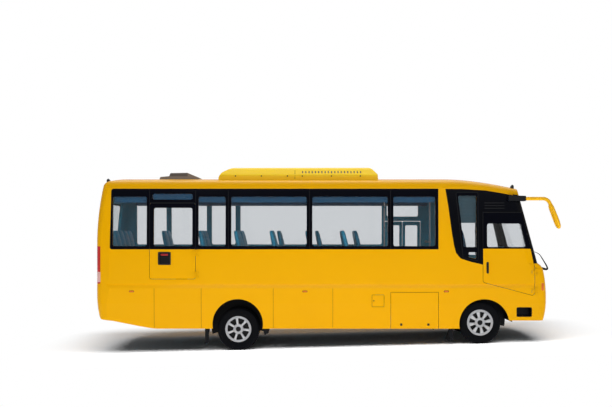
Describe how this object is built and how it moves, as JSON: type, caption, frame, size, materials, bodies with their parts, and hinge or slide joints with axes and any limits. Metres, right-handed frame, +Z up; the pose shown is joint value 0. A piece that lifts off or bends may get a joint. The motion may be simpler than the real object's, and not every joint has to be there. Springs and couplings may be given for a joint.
{
  "type": "school bus",
  "caption": "Yellow midi school bus with dark flush windows, roof air-conditioner, hinged doors and flaps, folding passenger door and steered front axle.",
  "frame": {"origin": "on the ground under the middle of the bus's length and width", "axes": "+X to the front, +Y to the left, +Z up; the body stands 1.54 degrees nose-down in it"},
  "size_m": [9.3754, 2.6449, 3.6942],
  "materials": {
    "yellow_paint": "gloss",
    "dark_glass": "gloss",
    "black_gloss": "gloss",
    "black_plastic": "matte",
    "chassis_black": "satin",
    "steel": "satin",
    "iron": "matte",
    "wheel_silver": "satin",
    "tyre": "matte",
    "rubber": "matte",
    "lamp_red": "gloss",
    "lamp_clear": "gloss",
    "seat_fabric": "matte",
    "floor_grey": "matte",
    "grey_plastic": "matte"
  },
  "bodies": {
    "bus_body": {"side_wall_right": "yellow_paint", "side_wall_left": "yellow_paint", "roof_panel": "yellow_paint", "front_panel": "yellow_paint", "rear_panel": "yellow_paint", "floor_deck": "floor_grey", "windscreen": "dark_glass", "rear_window": "dark_glass", "side_windows": "dark_glass", "cab_trim": "black_gloss", "chassis_frame": "chassis_black", "leaf_springs": "chassis_black", "engine": "iron", "drive_shaft": "steel", "exhaust": "steel", "fuel_tank": "chassis_black", "luggage_bays": "floor_grey", "mudflaps": "rubber", "air_conditioner": "yellow_paint", "roof_hatch": "grey_plastic", "mirrors": "yellow_paint", "mirror_roots": "black_plastic", "cab_step": "black_plastic", "wipers": "black_plastic", "headlamps": "lamp_clear", "tail_lamps": "lamp_red", "seat_frames": "chassis_black", "seat_cushions": "seat_fabric", "seat_backs": "seat_fabric", "luggage_racks": "grey_plastic", "dashboard": "black_plastic", "steering_column": "black_plastic", "driver_seat": "seat_fabric", "front_axle_beam": "chassis_black", "rear_axle": "iron"},
    "knuckle_right": {"knuckle_right": "chassis_black"},
    "knuckle_left": {"knuckle_left": "chassis_black"},
    "wheel_front_right": {"tyre_front_right": "tyre", "wheel_front_right": "wheel_silver"},
    "wheel_front_left": {"tyre_front_left": "tyre", "wheel_front_left": "wheel_silver"},
    "wheels_rear_right": {"tyres_rear_right": "tyre", "wheels_rear_right": "wheel_silver"},
    "wheels_rear_left": {"tyres_rear_left": "tyre", "wheels_rear_left": "wheel_silver"},
    "tie_rod": {"tie_rod": "chassis_black"},
    "steering_wheel": {"steering_wheel": "black_plastic"},
    "driver_door": {"driver_door": "yellow_paint", "driver_door_glass": "dark_glass"},
    "emergency_door": {"emergency_door": "yellow_paint", "emergency_door_glass": "dark_glass", "emergency_handle": "black_plastic"},
    "entry_leaf_front": {"entry_leaf_front": "yellow_paint", "entry_glass_front": "dark_glass"},
    "entry_leaf_rear": {"entry_leaf_rear": "yellow_paint", "entry_glass_rear": "dark_glass"},
    "luggage_flap": {"luggage_flap": "yellow_paint"},
    "fuel_flap": {"fuel_flap": "yellow_paint"},
    "boot_lid": {"boot_lid": "yellow_paint"}
  },
  "joints": [
    {"name": "steer_right", "type": "hinge", "parent": "bus_body", "child": "knuckle_right", "pos_m": [3.068, -0.838, 0.421], "axis": [0, 0, 1], "range_deg": [-35, 35]},
    {"name": "steer_left", "type": "hinge", "parent": "bus_body", "child": "knuckle_left", "pos_m": [3.068, 0.838, 0.421], "axis": [0, 0, 1], "range_deg": [-35, 35]},
    {"name": "tie_rod_pivot", "type": "hinge", "parent": "knuckle_right", "child": "tie_rod", "pos_m": [2.918, -0.838, 0.255], "axis": [0, 0, 1], "range_deg": [-37, 37]},
    {"name": "roll_front_right", "type": "hinge", "parent": "knuckle_right", "child": "wheel_front_right", "pos_m": [3.068, -0.988, 0.421], "axis": [0, 1, 0], "continuous": true},
    {"name": "roll_front_left", "type": "hinge", "parent": "knuckle_left", "child": "wheel_front_left", "pos_m": [3.068, 0.988, 0.421], "axis": [0, 1, 0], "continuous": true},
    {"name": "roll_rear_right", "type": "hinge", "parent": "bus_body", "child": "wheels_rear_right", "pos_m": [-1.775, -0.988, 0.421], "axis": [0, 1, 0], "continuous": true},
    {"name": "roll_rear_left", "type": "hinge", "parent": "bus_body", "child": "wheels_rear_left", "pos_m": [-1.775, 0.988, 0.421], "axis": [0, 1, 0], "continuous": true},
    {"name": "steering_wheel_turn", "type": "hinge", "parent": "bus_body", "child": "steering_wheel", "pos_m": [3.60951, -0.6, 1.79364], "axis": [-0.4765, 0, 0.8792], "range_deg": [-565, 565]},
    {"name": "driver_door_hinge", "type": "hinge", "parent": "bus_body", "child": "driver_door", "pos_m": [4.16613, -1.19, 1.2885], "axis": [0.0269, 0, 0.9996], "range_deg": [0, 68]},
    {"name": "emergency_door_hinge", "type": "hinge", "parent": "bus_body", "child": "emergency_door", "pos_m": [-2.58536, -1.19, 1.77012], "axis": [0.0269, 0, 0.9996], "range_deg": [0, 90]},
    {"name": "entry_front_hinge", "type": "hinge", "parent": "bus_body", "child": "entry_leaf_front", "pos_m": [2.21084, 1.19, 1.34107], "axis": [-0.0269, 0, -0.9996], "range_deg": [0, 80]},
    {"name": "entry_fold_hinge", "type": "hinge", "parent": "entry_leaf_front", "child": "entry_leaf_rear", "pos_m": [1.80199, 1.112, 1.35206], "axis": [-0.0269, 0, -0.9996], "range_deg": [-160, 0]},
    {"name": "luggage_flap_hinge", "type": "hinge", "parent": "bus_body", "child": "luggage_flap", "pos_m": [1.76537, -1.19, 1.06894], "axis": [-0.9996, 0, 0.0269], "range_deg": [0, 95]},
    {"name": "fuel_flap_hinge", "type": "hinge", "parent": "bus_body", "child": "fuel_flap", "pos_m": [1.15099, -1.19, 0.9144], "axis": [0.0269, 0, 0.9996], "range_deg": [0, 100]},
    {"name": "boot_lid_hinge", "type": "hinge", "parent": "bus_body", "child": "boot_lid", "pos_m": [-4.69831, 0, 1.1967], "axis": [0, 1, 0], "range_deg": [0, 85]}
  ],
  "couplings": [
    {"joint": "steer_left", "follows": "steer_right", "ratio": 1},
    {"joint": "tie_rod_pivot", "follows": "steer_right", "ratio": -1},
    {"joint": "steering_wheel_turn", "follows": "steer_right", "ratio": 16},
    {"joint": "entry_fold_hinge", "follows": "entry_front_hinge", "ratio": -2}
  ]
}
